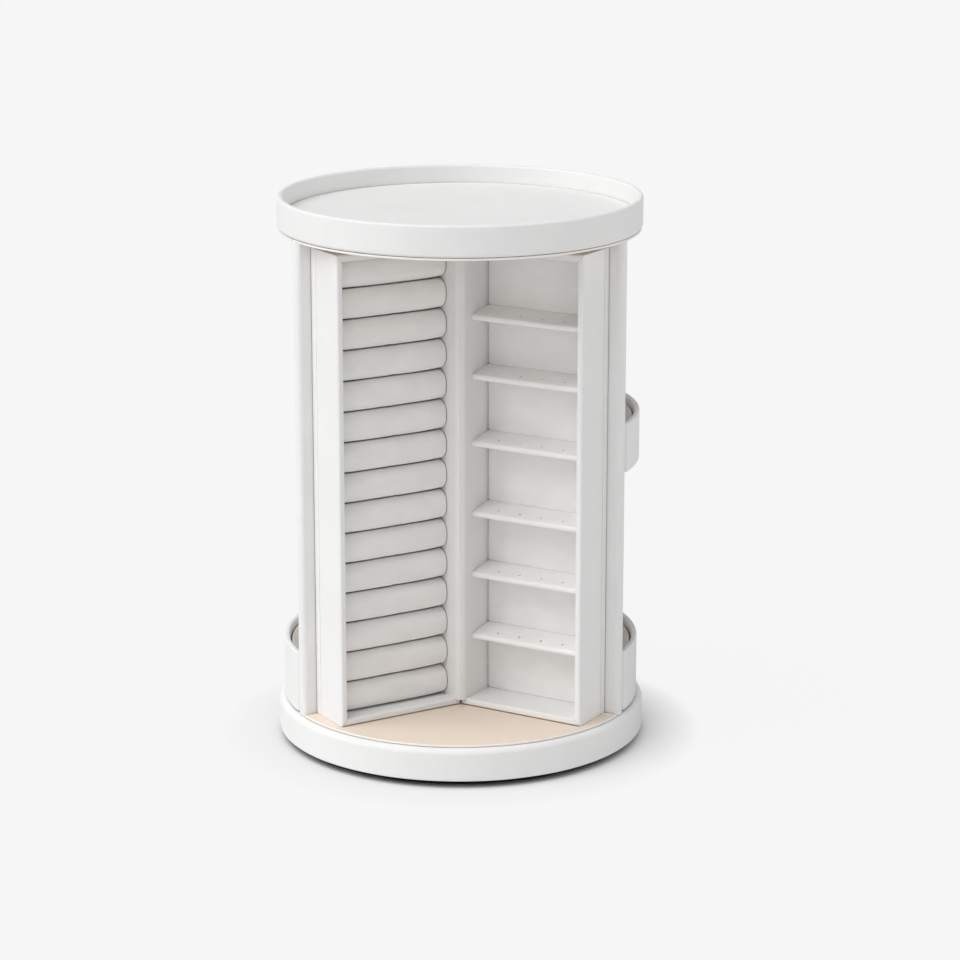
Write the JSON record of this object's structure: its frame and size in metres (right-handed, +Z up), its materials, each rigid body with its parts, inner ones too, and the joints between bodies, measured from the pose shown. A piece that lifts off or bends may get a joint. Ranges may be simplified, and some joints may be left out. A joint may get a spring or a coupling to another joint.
{
  "type": "rotating jewelry box",
  "caption": "Round leather-wrapped jewelry tower on a turntable, with a top tray, ring rolls, earring shelves, necklace hooks and curved pull-out drawers.",
  "frame": {"origin": "middle of the floor under the rubber pads, on the turning axis", "axes": "+Z up along the turning axis, -Y towards the front niche with the two display trays, +X to the right"},
  "size_m": [0.16, 0.16, 0.2389],
  "materials": {
    "white_leather": "fine-grained, soft satin",
    "board": "plain fibreboard",
    "cream_leather": "smooth satin",
    "grey_velvet": "short soft pile",
    "pale_suede": "microfibre suede",
    "black_plastic": "moulded matte",
    "black_rubber": "matte",
    "nylon": "moulded matte",
    "steel": "plain zinc",
    "brass": "polished"
  },
  "bodies": {
    "foot": {"foot_plate": "black_plastic", "foot_pads": "black_rubber", "bearing_lower_race": "steel", "bearing_balls": "steel", "bearing_cage": "nylon", "lower_race_screws": "steel", "centre_pivot": "steel"},
    "tower": {"base_disc": "white_leather", "bearing_upper_race": "steel", "upper_race_screws": "steel", "front_left_divider": "white_leather", "front_right_divider": "white_leather", "rear_divider": "white_leather", "divider_screws": "steel", "front_floor_inlay": "cream_leather", "front_ceiling_inlay": "cream_leather", "left_ceiling_inlay": "white_leather", "right_ceiling_inlay": "white_leather", "top_board": "board", "top_rim": "white_leather", "top_pad": "white_leather", "ring_tray_frame": "white_leather", "ring_tray_back": "pale_suede", "earring_tray_frame": "white_leather", "earring_tray_back": "pale_suede", "lower_left_runner": "nylon", "lower_right_runner": "nylon", "middle_runner": "nylon", "middle_shelf": "white_leather", "left_hook_rail": "white_leather", "right_hook_rail": "white_leather", "left_hooks": "brass", "right_hooks": "brass", "ring_roll_01": "grey_velvet", "ring_roll_02": "grey_velvet", "ring_roll_03": "grey_velvet", "ring_roll_04": "grey_velvet", "ring_roll_05": "grey_velvet", "ring_roll_06": "grey_velvet", "ring_roll_07": "grey_velvet", "ring_roll_08": "grey_velvet", "ring_roll_09": "grey_velvet", "ring_roll_10": "grey_velvet", "ring_roll_11": "grey_velvet", "ring_roll_12": "grey_velvet", "ring_roll_13": "grey_velvet", "ring_roll_14": "grey_velvet", "ring_roll_15": "grey_velvet", "earring_shelf_1": "pale_suede", "earring_shelf_2": "pale_suede", "earring_shelf_3": "pale_suede", "earring_shelf_4": "pale_suede", "earring_shelf_5": "pale_suede", "earring_shelf_6": "pale_suede"},
    "lower_left_drawer_body": {"lower_left_drawer": "white_leather", "lower_left_liner": "grey_velvet"},
    "lower_right_drawer_body": {"lower_right_drawer": "white_leather", "lower_right_liner": "grey_velvet"},
    "middle_drawer_body": {"middle_drawer": "white_leather", "middle_liner": "grey_velvet"}
  },
  "joints": [
    {"name": "turntable", "type": "hinge", "parent": "foot", "child": "tower", "pos_m": [0, 0, 0.0074], "axis": [0, 0, 1], "continuous": true},
    {"name": "lower_left_drawer_slide", "type": "slide", "parent": "tower", "child": "lower_left_drawer_body", "axis": [-0.8704, 0.4924, 0], "range_m": [0, 0.026]},
    {"name": "lower_right_drawer_slide", "type": "slide", "parent": "tower", "child": "lower_right_drawer_body", "axis": [0.8704, 0.4924, 0], "range_m": [0, 0.026]},
    {"name": "middle_drawer_slide", "type": "slide", "parent": "tower", "child": "middle_drawer_body", "axis": [0.8704, 0.4924, 0], "range_m": [0, 0.026]}
  ]
}
